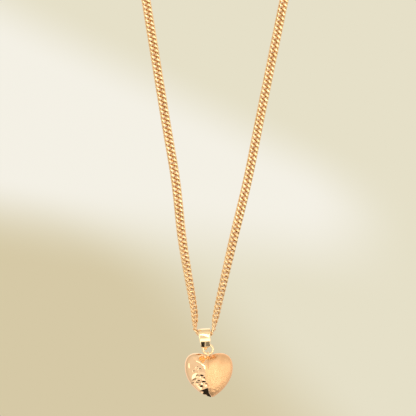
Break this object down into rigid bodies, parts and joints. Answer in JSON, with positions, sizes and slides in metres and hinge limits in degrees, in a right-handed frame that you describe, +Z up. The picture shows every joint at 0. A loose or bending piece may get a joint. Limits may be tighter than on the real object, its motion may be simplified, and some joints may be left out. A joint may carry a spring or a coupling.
{
  "type": "pendant necklace",
  "caption": "Puffed gold heart pendant on a tapered bail and a fine curb chain, hanging as a narrow V, closed at the back by a bolt ring clasp.",
  "frame": {"origin": "middle of the neck opening at the height where the chain rests on the neck", "axes": "+Z up, -Y to the front of the pendant, +X to the wearer's left"},
  "size_m": [0.0659, 0.05, 0.183],
  "materials": {
    "chain_gold": "polished yellow gold",
    "polished_gold": "polished warm gold",
    "heart_gold": "satin brushed on one side, polished and facet cut on the other",
    "spring_steel": "bright drawn wire"
  },
  "bodies": {
    "neck": {"chain_neck_left": "chain_gold", "chain_neck_right": "chain_gold"},
    "front_1": {"chain_front_left_1": "chain_gold", "chain_front_right_1": "chain_gold"},
    "front_2": {"chain_front_left_2": "chain_gold", "chain_front_right_2": "chain_gold"},
    "front_3": {"chain_front_left_3": "chain_gold", "chain_front_right_3": "chain_gold"},
    "front_4": {"chain_front_left_4": "chain_gold", "chain_front_right_4": "chain_gold"},
    "front_5": {"chain_front_left_5": "chain_gold", "chain_front_right_5": "chain_gold"},
    "front_6": {"chain_front_left_6": "chain_gold", "chain_front_right_6": "chain_gold"},
    "front_7": {"chain_front_left_7": "chain_gold", "chain_front_right_7": "chain_gold"},
    "front_8": {"chain_front_left_8": "chain_gold", "chain_front_right_8": "chain_gold"},
    "front_9": {"chain_front_left_9": "chain_gold", "chain_front_right_9": "chain_gold", "chain_in_bail": "chain_gold"},
    "back_1": {"chain_back_left_1": "chain_gold", "chain_back_right_1": "chain_gold"},
    "back_2": {"chain_back_left_2": "chain_gold", "chain_back_right_2": "chain_gold"},
    "back_3": {"chain_back_left_3": "chain_gold", "chain_back_right_3": "chain_gold"},
    "back_4": {"chain_back_left_4": "chain_gold", "chain_back_right_4": "chain_gold", "left_end_ring": "chain_gold", "right_end_ring": "chain_gold"},
    "bail": {"bail": "polished_gold"},
    "jump_ring": {"pendant_jump_ring": "polished_gold"},
    "heart": {"heart_front_shell": "heart_gold", "heart_back_shell": "polished_gold", "heart_eyelet": "polished_gold"},
    "clasp": {"clasp_body": "chain_gold", "clasp_eye": "chain_gold", "clasp_spring": "spring_steel"},
    "bolt": {"clasp_bolt": "chain_gold"}
  },
  "joints": [
    {"name": "front_drape_1", "type": "hinge", "parent": "neck", "child": "front_1", "pos_m": [0, 0, -0.015], "axis": [1, 0, 0], "range_deg": [-12, 12]},
    {"name": "front_drape_2", "type": "hinge", "parent": "front_1", "child": "front_2", "pos_m": [0, 0, -0.031], "axis": [1, 0, 0], "range_deg": [-12, 12]},
    {"name": "front_drape_3", "type": "hinge", "parent": "front_2", "child": "front_3", "pos_m": [0, 0, -0.047], "axis": [1, 0, 0], "range_deg": [-12, 12]},
    {"name": "front_drape_4", "type": "hinge", "parent": "front_3", "child": "front_4", "pos_m": [0, 0, -0.063], "axis": [1, 0, 0], "range_deg": [-12, 12]},
    {"name": "front_drape_5", "type": "hinge", "parent": "front_4", "child": "front_5", "pos_m": [0, 0, -0.079], "axis": [1, 0, 0], "range_deg": [-12, 12]},
    {"name": "front_drape_6", "type": "hinge", "parent": "front_5", "child": "front_6", "pos_m": [0, 0, -0.095], "axis": [1, 0, 0], "range_deg": [-12, 12]},
    {"name": "front_drape_7", "type": "hinge", "parent": "front_6", "child": "front_7", "pos_m": [0, 0, -0.111], "axis": [1, 0, 0], "range_deg": [-12, 12]},
    {"name": "front_drape_8", "type": "hinge", "parent": "front_7", "child": "front_8", "pos_m": [0, 0, -0.127], "axis": [1, 0, 0], "range_deg": [-12, 12]},
    {"name": "front_drape_9", "type": "hinge", "parent": "front_8", "child": "front_9", "pos_m": [0, 0, -0.143], "axis": [1, 0, 0], "range_deg": [-12, 12]},
    {"name": "back_lift_1", "type": "hinge", "parent": "neck", "child": "back_1", "pos_m": [0, 0.015, 0], "axis": [1, 0, 0], "range_deg": [0, 12]},
    {"name": "back_lift_2", "type": "hinge", "parent": "back_1", "child": "back_2", "pos_m": [0, 0.025, 0], "axis": [1, 0, 0], "range_deg": [0, 12]},
    {"name": "back_lift_3", "type": "hinge", "parent": "back_2", "child": "back_3", "pos_m": [0, 0.034, 0], "axis": [1, 0, 0], "range_deg": [0, 12]},
    {"name": "back_lift_4", "type": "hinge", "parent": "back_3", "child": "back_4", "pos_m": [0, 0.041, 0], "axis": [1, 0, 0], "range_deg": [0, 12]},
    {"name": "bail_swing", "type": "hinge", "parent": "front_9", "child": "bail", "pos_m": [-0.00405, 0, -0.1641], "axis": [1, 0, 0], "range_deg": [-35, 35]},
    {"name": "ring_sway", "type": "hinge", "parent": "bail", "child": "jump_ring", "pos_m": [-0.00366, 0, -0.16777], "axis": [0, 1, 0], "range_deg": [-20, 20]},
    {"name": "heart_swing", "type": "hinge", "parent": "jump_ring", "child": "heart", "pos_m": [-0.00312, 0, -0.16898], "axis": [1, 0, 0], "range_deg": [-25, 25]},
    {"name": "clasp_roll", "type": "hinge", "parent": "back_4", "child": "clasp", "pos_m": [0, 0.0462, 0], "axis": [1, 0, 0], "range_deg": [-25, 25]},
    {"name": "bolt_draw", "type": "hinge", "parent": "clasp", "child": "bolt", "pos_m": [0, 0.0462, 0], "axis": [0, 1, 0], "range_deg": [0, 45], "stiffness_Nm_per_rad": 0.004, "springref_deg": -22.92, "deforming": ["clasp_spring"]}
  ]
}
